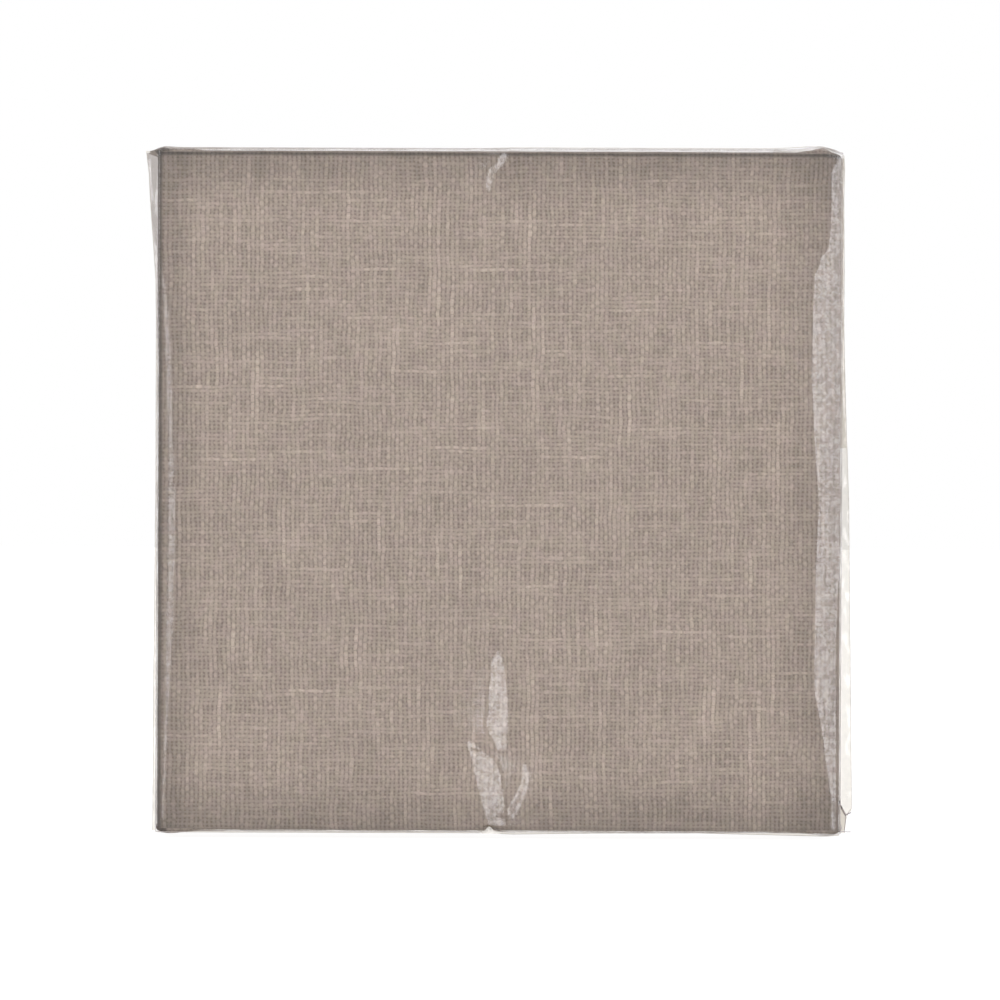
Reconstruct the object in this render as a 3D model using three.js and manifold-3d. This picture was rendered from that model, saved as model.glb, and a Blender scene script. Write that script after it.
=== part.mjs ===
// A small square stretched canvas in its clear shrink film.
//
// Four identical stretcher bars interlock at mitred corners. Wooden keys spread the corners, linen is
// stretched over the front, turned onto the back and stapled, and two webs of film enclose it all.
//
// Millimetres, +Z up. The picture side faces -Y, and +X is to the right of someone looking at it.
// Everything is drawn about the middle of the stretcher frame, and the last group stands it on z = 0.

import * as THREE from "three";
import { mergeVertices } from "three/addons/utils/BufferGeometryUtils.js";
import { RoundedBoxGeometry } from "three/addons/geometries/RoundedBoxGeometry.js";
import Module from "manifold-3d";

const wasm = await Module();
wasm.setup();

// ---------------------------------------------------------------- driving dimensions

const FRAME_SIDE = 150; // the canvas's nominal size: the outside of the bars
const GAP = 0.3; // left between pieces that touch

const BAR_WIDTH = 30;
const BAR_DEPTH = 17; // front to back, over the bead
const BEAD_HEIGHT = 1.5; // the raised lip that keeps the linen off the bar
const BEAD_WIDTH = 5;
const BEVEL_FALL = 0.8; // how far the bar's front falls back from the bead to its inner edge
const BAR_EASING = 1.2; // radius of the edges that the linen turns over
const INNER_CHAMFER = 0.7; // on the edges around the window

const TONGUE_THICKNESS = 3.6;
const TONGUE_SHORT = 0.4; // the tongue stops this far short of the neighbour's outer edge

const KEY_LENGTH = 28;
const KEY_INSIDE = 16; // how much of a key is inside the neighbouring bar
const KEY_TIP_WIDTH = 3;
const KEY_TAIL_WIDTH = 10;
const KEY_CORNER = 0.8; // chamfer on the key's ends
const KEY_DRIVE_ROOM = 3; // slot left beyond the tip, for driving the key further

const LINEN_THICKNESS = 0.8;
const LINEN_ROUNDING = 1.1;
const TURNOVER = 19; // linen turned onto the back, measured from the bars' outer edge
const FOLD_THICKNESS = 0.8; // the pleat's extra layer on the top and bottom edges
const FOLD_LENGTH = 15; // how far the pleat runs in from the corner, at the back edge

const STAPLE_CROWN = 10;
const STAPLE_LEG = 6;
const WIRE_THICKNESS = 0.6;
const WIRE_WIDTH = 1.2;
const STAPLE_INSET = 13; // from the bars' outer edge to the middle of a staple
const STAPLE_SPACING = 24;
const STAPLE_TILTS = [6, -4, 3, -7]; // degrees, as a hand-held stapler leaves them
const CORNER_STAPLE_INSET = 13;

const FILM_THICKNESS = 0.3;
const FILM_ROUNDING = 1.5;
const FIN_WIDTH = 0.8; // the seal's fin on the two sides and the top
const SEAL_GAP = 0.3;
const VENT_RADIUS = 3;
const VENT_SPACING = 50;

// ---------------------------------------------------------------- sizes that follow

const HALF = FRAME_SIDE / 2;
const CORNER = HALF - BAR_WIDTH; // the bars' inner edges, and where the corner squares start
const FRONT = -BAR_DEPTH / 2;
const BACK = BAR_DEPTH / 2;

// The two tongue layers lie side by side in the middle of the bar's body, behind the bead.
const LAYER_MIDDLE = (FRONT + BEAD_HEIGHT + BACK) / 2;
const FRONT_TONGUE = [LAYER_MIDDLE - GAP / 2 - TONGUE_THICKNESS, LAYER_MIDDLE - GAP / 2];
const BACK_TONGUE = [LAYER_MIDDLE + GAP / 2, LAYER_MIDDLE + GAP / 2 + TONGUE_THICKNESS];

const LINEN_HALF = HALF + GAP + LINEN_THICKNESS;
const LINEN_FRONT = FRONT - GAP - LINEN_THICKNESS;
const LINEN_BACK = BACK + GAP + LINEN_THICKNESS;

const STAPLE_TOP = LINEN_BACK + GAP + WIRE_THICKNESS;

// The bag is square: it clears the pleats on the top and bottom, and is slack at the two sides.
const FILM_INNER_HALF = LINEN_HALF + FOLD_THICKNESS + GAP;
const FILM_HALF = FILM_INNER_HALF + FILM_THICKNESS;
const FILM_FRONT = LINEN_FRONT - GAP - FILM_THICKNESS;
const FILM_BACK = STAPLE_TOP + GAP + FILM_THICKNESS;
const FILM_MIDDLE = (FILM_FRONT + FILM_BACK) / 2;

const SIDES = ["top", "right", "bottom", "left"]; // clockwise, seen from the front
const QUARTER_TURN = Math.PI / 2;
const BEYOND = FRAME_SIDE; // farther from the middle than any piece reaches

// ---------------------------------------------------------------- solids

// A closed three.js geometry as a manifold-3d solid.
function solid(geometry) {
  const bare = geometry.clone();
  bare.deleteAttribute("normal");
  bare.deleteAttribute("uv");
  const merged = mergeVertices(bare, 1e-4);
  return new wasm.Manifold(
    new wasm.Mesh({
      numProp: 3,
      vertProperties: merged.attributes.position.array,
      triVerts: new Uint32Array(merged.index.array),
    }),
  );
}

// A manifold-3d solid as a flat-shaded three.js geometry.
function geometryOf(body) {
  const { vertProperties, triVerts } = body.getMesh();
  const geometry = new THREE.BufferGeometry();
  geometry.setAttribute("position", new THREE.BufferAttribute(vertProperties, 3));
  geometry.setIndex(new THREE.BufferAttribute(triVerts, 1));
  const flat = geometry.toNonIndexed();
  flat.computeVertexNormals();
  return flat;
}

// A box given by its ranges along X, Y and Z.
function box(xRange, yRange, zRange) {
  const ranges = [xRange, yRange, zRange];
  const size = ranges.map(([low, high]) => high - low);
  const middle = ranges.map(([low, high]) => (low + high) / 2);
  return solid(new THREE.BoxGeometry(...size).translate(...middle));
}

// A flat outline in X and Z, given as [x, z] points, made thick between two Y values.
function plate(points, [near, far]) {
  const shape = new THREE.Shape(points.map(([x, z]) => new THREE.Vector2(x, z)));
  const geometry = new THREE.ExtrudeGeometry(shape, { depth: far - near, bevelEnabled: false });
  return geometry.rotateX(QUARTER_TURN).translate(0, far, 0);
}

function roundedBox(half, front, back, radius) {
  const geometry = new RoundedBoxGeometry(2 * half, back - front, 2 * half, 2, radius);
  return solid(geometry.translate(0, (front + back) / 2, 0));
}

// Four copies of a solid drawn for the top bar, turned to every bar's place and joined.
function onEverySide(body) {
  const copies = SIDES.map((_, k) => body.rotate([0, 90 * k, 0]));
  return copies.reduce((all, copy) => all.add(copy));
}

const swapped = (points) => points.map(([x, z]) => [z, x]);
const mirrored = (points) => points.map(([x, z]) => [-x, z]);

// ---------------------------------------------------------------- corner keys

// The key beside the top bar at its right end, as [x, z] points. Its straight edge lies along the
// bar's inner edge, and its tip is inside the slot of the right-hand bar.
const KEY_TIP = CORNER + KEY_INSIDE;
const KEY_TAIL = KEY_TIP - KEY_LENGTH;

// The z of the key's tapered edge.
function taperedEdge(x) {
  const taper = (KEY_TAIL_WIDTH - KEY_TIP_WIDTH) / KEY_LENGTH;
  return CORNER - GAP - KEY_TIP_WIDTH - (KEY_TIP - x) * taper;
}

function keyOutline() {
  const straight = CORNER - GAP;
  return [
    [KEY_TAIL, straight],
    [KEY_TIP - KEY_CORNER, straight],
    [KEY_TIP, straight - KEY_CORNER],
    [KEY_TIP, taperedEdge(KEY_TIP) + KEY_CORNER],
    [KEY_TIP - KEY_CORNER, taperedEdge(KEY_TIP - KEY_CORNER)],
    [KEY_TAIL + KEY_CORNER, taperedEdge(KEY_TAIL + KEY_CORNER)],
    [KEY_TAIL, taperedEdge(KEY_TAIL) + KEY_CORNER],
  ];
}

// The room that the key needs inside the neighbouring bar, with some left for driving it further.
function keySlotOutline() {
  const end = KEY_TIP + KEY_DRIVE_ROOM;
  return [
    [KEY_TAIL, CORNER],
    [end, CORNER],
    [end, taperedEdge(end) - GAP],
    [KEY_TAIL, taperedEdge(KEY_TAIL) - GAP],
  ];
}

// Thick about y = 0, so that half a turn about Z makes it the key of the bar's other end.
const keyShape = plate(keyOutline(), [-TONGUE_THICKNESS / 2, TONGUE_THICKNESS / 2]);

// ---------------------------------------------------------------- staples

// Crown at y = 0 and legs towards -Y, with chisel points.
function stapleGeometry() {
  const half = STAPLE_CROWN / 2;
  const inner = half - WIRE_THICKNESS;
  const point = STAPLE_LEG - 2 * WIRE_THICKNESS;
  const outline = new THREE.Shape(
    [
      [-half, 0],
      [-half, -point],
      [-inner, -STAPLE_LEG],
      [-inner, -WIRE_THICKNESS],
      [inner, -WIRE_THICKNESS],
      [inner, -STAPLE_LEG],
      [half, -point],
      [half, 0],
    ].map(([x, y]) => new THREE.Vector2(x, y)),
  );
  const extruded = new THREE.ExtrudeGeometry(outline, { depth: WIRE_WIDTH, bevelEnabled: false });
  return extruded.translate(0, 0, -WIRE_WIDTH / 2);
}

// Where the top bar's staples are: [x, z, turn about Y].
function staplePlaces() {
  const row = STAPLE_TILTS.map((tilt, i) => {
    const x = (i - (STAPLE_TILTS.length - 1) / 2) * STAPLE_SPACING;
    return [x, HALF - STAPLE_INSET, THREE.MathUtils.degToRad(tilt)];
  });
  const corner = HALF - CORNER_STAPLE_INSET;
  return [...row, [corner, corner, Math.PI / 4]];
}

// The two holes that one staple's legs need, all the way down from its crown.
function legHoles([x, z, turn]) {
  const legMiddle = (STAPLE_CROWN - WIRE_THICKNESS) / 2;
  const size = [WIRE_THICKNESS + 2 * GAP, STAPLE_LEG + 2 * GAP, WIRE_WIDTH + 2 * GAP];
  const holes = [-legMiddle, legMiddle].map((along) => {
    const hole = new THREE.BoxGeometry(...size).translate(along, -size[1] / 2, 0);
    return solid(hole.rotateY(turn).translate(x, STAPLE_TOP + GAP, z));
  });
  return holes[0].add(holes[1]);
}

// Every staple's holes. The pattern repeats on each bar, so one bar's cut suits all four.
const staplePattern = onEverySide(
  staplePlaces()
    .map(legHoles)
    .reduce((all, holes) => all.add(holes)),
);

// ---------------------------------------------------------------- stretcher bars

// A bar's section as [y, z] points, from its inner edge out to its bead.
function barSection() {
  const bodyFront = FRONT + BEAD_HEIGHT;
  const eased = [0, 30, 60, 90].map(THREE.MathUtils.degToRad);
  const frontEdge = eased.map((angle) => [
    FRONT + BAR_EASING * (1 - Math.cos(angle)),
    HALF - BAR_EASING * (1 - Math.sin(angle)),
  ]);
  const backEdge = eased.map((angle) => [
    BACK - BAR_EASING * (1 - Math.sin(angle)),
    HALF - BAR_EASING * (1 - Math.cos(angle)),
  ]);
  return [
    [BACK, CORNER + INNER_CHAMFER],
    [BACK - INNER_CHAMFER, CORNER],
    [bodyFront + BEVEL_FALL + INNER_CHAMFER, CORNER],
    [bodyFront + BEVEL_FALL, CORNER + INNER_CHAMFER],
    [bodyFront, HALF - BEAD_WIDTH - BEAD_HEIGHT],
    [FRONT + BEAD_HEIGHT / 3, HALF - BEAD_WIDTH],
    [FRONT, HALF - BEAD_WIDTH + BEAD_HEIGHT / 2],
    ...frontEdge,
    ...backEdge,
  ];
}

// The top bar before its ends are cut, running along X.
function barBlank() {
  const section = new THREE.Shape(barSection().map(([y, z]) => new THREE.Vector2(y, z)));
  const extruded = new THREE.ExtrudeGeometry(section, { depth: FRAME_SIDE, bevelEnabled: false });
  // The section's y and z and the length go to Y, Z and X.
  const turn = new THREE.Matrix4().makeBasis(
    new THREE.Vector3(0, 1, 0),
    new THREE.Vector3(0, 0, 1),
    new THREE.Vector3(1, 0, 0),
  );
  return solid(extruded.applyMatrix4(turn).translate(-HALF, 0, 0));
}

// What one end loses: everything past the mitre except its tongue, and the slot for the neighbour's
// tongue and key. "face" is the outline's mirror for the left end.
function endCut(tongue, slot, face) {
  const mitreGap = GAP / Math.SQRT2;
  const pastMitre = [
    [-mitreGap, 0],
    [BEYOND, 0],
    [BEYOND, BEYOND],
    [BEYOND - mitreGap, BEYOND],
  ];
  const inCorner = [
    [CORNER - GAP, CORNER - GAP],
    [BEYOND, CORNER - GAP],
    [BEYOND, BEYOND],
    [CORNER - GAP, BEYOND],
  ];
  const pastTongue = [
    [HALF - TONGUE_SHORT, CORNER - GAP],
    [BEYOND, CORNER - GAP],
    [BEYOND, BEYOND],
    [HALF - TONGUE_SHORT, BEYOND],
  ];
  const before = [-BEYOND, tongue[0]];
  const behind = [tongue[1], BEYOND];
  const cuts = [
    plate(face(pastMitre), before),
    plate(face(pastMitre), behind),
    plate(face(inCorner), slot),
    plate(face(pastTongue), [-BEYOND, BEYOND]),
    plate(face(swapped(keySlotOutline())), slot),
  ];
  return cuts.map(solid).reduce((all, cut) => all.add(cut));
}

function barGeometry() {
  const frontSlot = [FRONT_TONGUE[0] - GAP, BACK_TONGUE[0]];
  const backSlot = [FRONT_TONGUE[1], BACK_TONGUE[1] + GAP];
  const bar = barBlank()
    .subtract(endCut(FRONT_TONGUE, backSlot, (points) => points))
    .subtract(endCut(BACK_TONGUE, frontSlot, mirrored))
    .subtract(staplePattern);
  return geometryOf(bar);
}

// ---------------------------------------------------------------- linen

// The pleat's extra layer on the top edge at the right-hand corner: narrow at the front, where the
// fold starts, and wide at the back, where it is pulled over.
function pleat() {
  const outline = new THREE.Shape(
    [
      [LINEN_HALF, FRONT],
      [LINEN_HALF, BACK],
      [LINEN_HALF - FOLD_LENGTH, BACK],
      [LINEN_HALF - FOLD_LENGTH / 2, FRONT + BAR_DEPTH / 4],
    ].map(([x, y]) => new THREE.Vector2(x, y)),
  );
  const bite = LINEN_THICKNESS / 2; // sunk into the layer below, so that the two are one piece
  const thick = new THREE.ExtrudeGeometry(outline, {
    depth: FOLD_THICKNESS + bite,
    bevelEnabled: false,
  });
  return solid(thick.translate(0, 0, LINEN_HALF - bite));
}

// A shallow tray, open at the back inside the turnover.
function linenGeometry() {
  const inner = HALF + GAP;
  const edge = HALF - TURNOVER;
  const throughBack = [BACK, LINEN_BACK + GAP];
  const hollow = box([-inner, inner], [FRONT - GAP, BACK + GAP], [-inner, inner]);
  const window = box([-edge, edge], throughBack, [-edge, edge]);
  // The two turnovers of a corner meet along its mitre.
  const mitreReach = (HALF - LINEN_ROUNDING) * Math.SQRT2;
  const slit = box([0, mitreReach], throughBack, [-GAP / 2, GAP / 2]).rotate([0, 45, 0]);
  const topRight = pleat();
  const top = topRight.add(topRight.mirror([1, 0, 0]));
  return geometryOf(
    roundedBox(LINEN_HALF, LINEN_FRONT, LINEN_BACK, LINEN_ROUNDING)
      .add(top)
      .add(top.mirror([0, 0, 1]))
      .subtract(hollow)
      .subtract(window)
      .subtract(onEverySide(slit))
      .subtract(staplePattern),
  );
}

// ---------------------------------------------------------------- film

// The whole bag's wall, before it is parted at the seal.
function filmBag() {
  const outer = roundedBox(FILM_HALF, FILM_FRONT, FILM_BACK, FILM_ROUNDING);
  const inner = roundedBox(
    FILM_INNER_HALF,
    FILM_FRONT + FILM_THICKNESS,
    FILM_BACK - FILM_THICKNESS,
    FILM_ROUNDING - FILM_THICKNESS,
  );
  return outer.subtract(inner);
}

// One web's share of the fin: a flat rim on both sides and the top, but not under the bottom edge.
function fin(yRange) {
  const reach = FILM_HALF + FIN_WIDTH;
  const rim = box([-reach, reach], yRange, [-FILM_HALF, reach]);
  const inside = box(
    [-FILM_INNER_HALF, FILM_INNER_HALF],
    [FILM_FRONT, FILM_BACK],
    [-FILM_INNER_HALF, FILM_INNER_HALF],
  );
  return rim.subtract(inside);
}

// The bag between two depths, with its share of the fin.
function web(yRange, finRange) {
  const share = box([-BEYOND, BEYOND], yRange, [-BEYOND, BEYOND]);
  return filmBag().intersect(share).add(fin(finRange));
}

function filmFrontGeometry() {
  const seal = FILM_MIDDLE - SEAL_GAP / 2;
  return geometryOf(web([-BEYOND, seal], [seal - FILM_THICKNESS, seal]));
}

function filmBackGeometry() {
  const seal = FILM_MIDDLE + SEAL_GAP / 2;
  const [left, right] = [-VENT_SPACING / 2, VENT_SPACING / 2].map((x) => {
    const vent = new THREE.CylinderGeometry(VENT_RADIUS, VENT_RADIUS, 4 * FILM_THICKNESS, 16);
    return solid(vent.translate(x, FILM_BACK, 0));
  });
  return geometryOf(web([seal, BEYOND], [seal, seal + FILM_THICKNESS]).subtract(left).subtract(right));
}

// ---------------------------------------------------------------- materials

const pine = () => new THREE.MeshStandardMaterial({ color: 0xd8b98a, roughness: 0.7, metalness: 0 });
const beech = () => new THREE.MeshStandardMaterial({ color: 0xc89f74, roughness: 0.6, metalness: 0 });
const steel = () => new THREE.MeshStandardMaterial({ color: 0xb4b6b8, roughness: 0.35, metalness: 1 });
const linenCloth = () => new THREE.MeshStandardMaterial({ color: 0xa5978d, roughness: 0.95, metalness: 0 });
const film = () => new THREE.MeshStandardMaterial({
  color: 0xf4f1ea,
  roughness: 0.15,
  metalness: 0,
  transparent: true,
  opacity: 0.2,
});

// ---------------------------------------------------------------- assembly

function named(name, geometry, material) {
  const mesh = new THREE.Mesh(geometry, material);
  mesh.name = name;
  return mesh;
}

const barShape = barGeometry();
const stapleShape = stapleGeometry();

// One bar with the keys at its two ends and the staples in its back, turned into its place.
function side(k) {
  const here = SIDES[k];
  const next = SIDES[(k + 1) % 4];
  const previous = SIDES[(k + 3) % 4];
  const group = new THREE.Group();
  group.rotation.y = k * QUARTER_TURN;
  group.add(named(`bar_${here}`, barShape, pine()));

  const nearNext = named(`key_${here}_bar_${next}_end`, keyShape, beech());
  nearNext.position.y = (FRONT_TONGUE[0] + FRONT_TONGUE[1]) / 2;
  const nearPrevious = named(`key_${here}_bar_${previous}_end`, keyShape, beech());
  nearPrevious.position.y = (BACK_TONGUE[0] + BACK_TONGUE[1]) / 2;
  nearPrevious.rotation.z = Math.PI;
  group.add(nearNext, nearPrevious);

  staplePlaces().forEach(([x, z, turn], i) => {
    const inRow = i < STAPLE_TILTS.length;
    const name = inRow ? `staple_${here}_${i + 1}` : `staple_corner_${here}_${next}`;
    const staple = named(name, stapleShape, steel());
    staple.position.set(x, STAPLE_TOP, z);
    staple.rotation.y = turn;
    group.add(staple);
  });
  return group;
}

const canvas = new THREE.Group();
SIDES.forEach((_, k) => canvas.add(side(k)));
canvas.add(named("linen", linenGeometry(), linenCloth()));
canvas.add(named("film_front_web", filmFrontGeometry(), film()));
canvas.add(named("film_back_web", filmBackGeometry(), film()));

const part = new THREE.Group();
canvas.position.set(0, -FILM_MIDDLE, FILM_HALF);
part.add(canvas);

export default part;
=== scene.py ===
# A small stretched canvas, still in its clear shrink film: linen over a keyed pine frame.
# The CAD frame gives the places and sizes; this script adds the looks.

import math
import random

import bmesh
import bpy
import numpy as np
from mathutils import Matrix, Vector, noise


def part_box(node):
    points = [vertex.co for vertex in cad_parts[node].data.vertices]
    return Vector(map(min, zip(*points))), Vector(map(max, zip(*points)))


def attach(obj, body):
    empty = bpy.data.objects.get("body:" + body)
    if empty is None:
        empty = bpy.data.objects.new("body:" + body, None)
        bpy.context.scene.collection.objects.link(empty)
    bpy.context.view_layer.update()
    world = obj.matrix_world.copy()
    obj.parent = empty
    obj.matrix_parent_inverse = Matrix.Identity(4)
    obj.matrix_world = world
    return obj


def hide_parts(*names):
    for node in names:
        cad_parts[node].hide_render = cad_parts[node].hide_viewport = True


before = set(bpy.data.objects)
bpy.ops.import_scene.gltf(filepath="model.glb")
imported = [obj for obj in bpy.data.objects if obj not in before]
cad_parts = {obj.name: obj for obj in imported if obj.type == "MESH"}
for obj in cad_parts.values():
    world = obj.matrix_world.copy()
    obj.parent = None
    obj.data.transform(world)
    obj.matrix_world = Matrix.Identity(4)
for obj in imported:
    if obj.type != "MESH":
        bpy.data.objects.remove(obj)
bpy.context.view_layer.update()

MM = 0.001
SIDES = ("top", "right", "bottom", "left")
LINEN_LOW, LINEN_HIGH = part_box("linen")
MIDDLE = (LINEN_LOW + LINEN_HIGH) / 2

# --- Sizes, in millimetres from the middle of the canvas: x right, y to the back, z up ---

# The linen. Its height is a share of its width.
LINEN_HALF = LINEN_HIGH.x / MM
LINEN_DEPTH = (LINEN_HIGH.y - LINEN_LOW.y) / MM
LINEN_FACE = LINEN_DEPTH / 2
LINEN_THICK = 0.7
LINEN_ROUND = 1.2
LINEN_TALL = 0.9955
# Where the turned-over linen ends on the back.
TURNOVER_EDGE = 56.0
TURNOVER = LINEN_HALF - TURNOVER_EDGE
# The sag of the face, the lean of its left edge, the wear of its top right corner, and how far
# apart the staples pull.
FACE_SAG = 0.3
LEFT_BOW = 0.25
CORNER_DROP = 0.5
PULL_PITCH = 24
# The cloth laid flat, and the square its UV map covers.
CLOTH_SHEET = 240.0
# Each corner's fold: its way in x and z, its start, peak and height, how far it pokes out.
CORNER_FOLDS = [
    (-1, 1, -2, 2.8, 0.8, 3.2),
    (1, 1, 1.6, 2.4, 1.25, 0),
    (-1, -1, -2, 2, 0.7, 0),
    (1, -1, -2, 2.4, 0.7, 0),
]

# How painted shade darkens the linen towards each edge of its face: by how much and over what
# width, then a thin painted dark line along the edge: how far in, how wide and how dark.
EDGE_SHADE = {
    "top": (0.75, 14, 0.62, 0.2, 0.45),
    "bottom": (0.75, 14, 0.6, 0.2, 0.92),
    "left": (0.76, 12, 0.0, 0.7, 0.50),
    "right": (0.77, 17, 1.3, 0.2, 0.92),
}

# The width of one thread of each kind.
WARP_PITCH = 1.01
WEFT_PITCH = 0.909

# The film: the places of its face, back and seal in depth, and how its faces round over.
FILM_FACE = LINEN_FACE + 0.3
FILM_BACK = LINEN_FACE + 1.35
FILM_SEAL = 0.45
FILM_HALF = 76.4
FIN_LEAST = 0.3
EDGE_ROUND = 1.1
EDGE_FALL = 0.55
# Each web laid flat, the square its UV map covers, and the depth of a half side.
FILM_FLAT = 178.0
FILM_SHEET = FILM_FLAT + 12
SIDE_FLAT = 10
BUNCH_START = 76.2
BUNCH_DEPTH = -1.2
VENT_RADIUS = 3.0
VENT_X = 25.0
# How much light the film throws back square on, and the order of its materials.
FILM_SHINE = 0.091
CLEAR, BEAD, DOUBLED, BUNCHED = range(4)

STAPLE_CROWN = 10.0
STAPLE_LEG = 6.0
WIRE_THICK = 0.6
WIRE_WIDE = 1.2
WIRE_CUT = 0.14
STAPLE_BEND = 0.7

# --- Camera and room, in metres ---

CAMERA_AWAY = 1.0
CAMERA_RIGHT = 0.0002
CAMERA_DOWN = 0.0020
CAMERA_ROLL = math.radians(-0.22)
FRAME_WIDTH = 0.2228
SENSOR_WIDTH = 36
FLOOR_HALF = 6.0
FLOOR_DROP = 0.0002
FLOOR_GLOW = 0.92
# How bright the room is where no light stands, as gloss sees it.
ROOM_SEEN = 0.18
LIGHT_AWAY = 1.25
# The pairs of lights: how many degrees round from the front, width, height and watts of each.
LIGHTS = {
    "light": (40, 0.85, 1.2, 1.72),
    "strip": (25, 0.40, 1.5, 3.9),
    "light_back": (140, 0.85, 1.2, 2.4),
}


# --- Mesh helpers ---

def spread(low, high, step):
    """Evenly spaced values from low to high, about step apart."""
    count = max(1, round((high - low) / step))
    return [low + (high - low) * k / count for k in range(count + 1)]


def ticks(half, fine, border, step):
    """Values from -half to half: fine apart in a border at both ends, and step apart between."""
    inner = half - border
    middle = spread(-inner, inner, step)
    low = spread(-half, -inner, fine)[:-1]
    high = [-value for value in reversed(low)]
    return low + middle + high


def along(points, at):
    """The value at a place on a broken line of (place, value) points in rising order."""
    places = [point[0] for point in points]
    values = [point[1] for point in points]
    return float(np.interp(at, places, values))


def smooth(low, high, value):
    """0 below low, 1 above high, and a smooth step between."""
    share = min(1.0, max(0.0, (value - low) / (high - low)))
    return share * share * (3 - 2 * share)


def ripple(x, y, z, size):
    """Smooth noise from about -1 to 1, with features of about this size."""
    return noise.noise(Vector((x, y, z)) / size)


def heading(path, k):
    """The way a path runs at one of its points."""
    ahead = Vector(path[min(k + 1, len(path) - 1)])
    behind = Vector(path[max(k - 1, 0)])
    return (ahead - behind).normalized()


def add_object(name, data):
    """Puts a new object into the scene."""
    piece = bpy.data.objects.new(name, data)
    bpy.context.scene.collection.objects.link(piece)
    return piece


class Surface:
    """Collects grids of points in millimetres, with a flat coordinate for each point."""

    def __init__(self):
        self.points = []
        self.flat = []
        self.faces = []
        self.kinds = []

    def grid(self, rows, flats, flip=False, kind=0):
        """Adds rows of points. The front of each quad faces the side it is counter-clockwise on."""
        start = len(self.points)
        width = len(rows[0])
        for row, flat in zip(rows, flats):
            self.points.extend(row)
            self.flat.extend(flat)
        for r in range(len(rows) - 1):
            for c in range(width - 1):
                a = start + r * width + c
                quad = (a, a + 1, a + width + 1, a + width)
                self.faces.append(quad[::-1] if flip else quad)
                self.kinds.append(kind)

    def tube(self, path, radius, sides, flat, kind=0):
        """Adds a tube along a path, open at both ends."""
        rows = []
        for k, point in enumerate(path):
            run = heading(path, k)
            across = run.orthogonal().normalized()
            other = run.cross(across)
            ring = []
            for s in range(sides + 1):
                turn = 2 * math.pi * s / sides
                offset = across * math.cos(turn) + other * math.sin(turn)
                ring.append(tuple(Vector(point) + offset * radius))
            rows.append(ring)
        self.grid(rows, [[flat] * (sides + 1)] * len(rows), kind=kind)

    def build(self, name, materials, flat_size, thick=0.0):
        """Makes the welded object, in metres in the CAD's frame, with the flat sheet as UV map."""
        places = [MIDDLE + Vector(point) * MM for point in self.points]
        mesh = bpy.data.meshes.new(name)
        mesh.from_pydata(places, [], self.faces)
        mesh.polygons.foreach_set("material_index", self.kinds)
        layer = mesh.uv_layers.new(name="flat")
        flat = np.array(self.flat)[[loop.vertex_index for loop in mesh.loops]]
        layer.data.foreach_set("uv", (flat / flat_size + 0.5).ravel())
        for material in materials:
            mesh.materials.append(material)
        work = bmesh.new()
        work.from_mesh(mesh)
        bmesh.ops.remove_doubles(work, verts=work.verts, dist=0.01 * MM)
        for face in work.faces:
            face.smooth = True
        work.to_mesh(mesh)
        work.free()
        piece = add_object(name, mesh)
        if thick:
            thicken(piece, thick)
        return piece


def thicken(piece, thick):
    """Gives a sheet its thickness, inwards."""
    solid = piece.modifiers.new("thickness", "SOLIDIFY")
    solid.thickness = thick * MM
    solid.offset = -1
    settled = bpy.data.meshes.new_from_object(piece.evaluated_get(
        bpy.context.evaluated_depsgraph_get()))
    piece.modifiers.clear()
    piece.data = settled


# --- Linen ---

def on_linen(x, y, z):
    """The place on the wrapped cloth for a point of the plain box, and the way out there."""
    inner = Vector([
        max(LINEN_ROUND - half, min(half - LINEN_ROUND, value))
        for value, half in ((x, LINEN_HALF), (y, LINEN_FACE), (z, LINEN_HALF))
    ])
    out = (Vector((x, y, z)) - inner).normalized()
    return inner + out * LINEN_ROUND, out


def linen_point(x, y, z, staples):
    """The cloth's own surface: sagging a little over the window, pulled in by its staples."""
    place, out = on_linen(x, y, z)
    lift = 0.05 * ripple(x, y, z, 9)
    if y <= -LINEN_FACE:
        inside = smooth(0, 30, LINEN_HALF - max(abs(x), abs(z)))
        lift -= FACE_SAG * inside
        lift += 0.03 * ripple(x, 40, z, 25)
    elif y < LINEN_FACE:
        depth = smooth(-LINEN_FACE, LINEN_FACE, y)
        run = z if abs(x) > abs(z) else x
        lift += 0.16 * depth * math.cos(2 * math.pi * run / PULL_PITCH) * smooth(76, 60, abs(run))
    else:
        edge = smooth(LINEN_HALF, TURNOVER_EDGE, max(abs(x), abs(z)))
        lift += 0.35 * edge * max(0.0, ripple(x, 3, z, 11))
        for centre, way in staples:
            gap = Vector((x - centre[0], z - centre[1]))
            run = gap.dot(way)
            off = gap.dot(Vector((-way.y, way.x)))
            press = math.exp(-(off / 1.3) ** 2) * smooth(7.5, 4.5, abs(run))
            lift -= 0.4 * press
    spot = place + out * lift
    # the left edge leans out a little at its top, and the top right corner is worn down
    spot.x -= LEFT_BOW * smooth(60, 76, -x) * smooth(10, 76, z)
    spot.z -= CORNER_DROP * smooth(73, 77, x) * smooth(69, 76, z)
    return (spot.x, spot.y, spot.z * LINEN_TALL)


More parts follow.
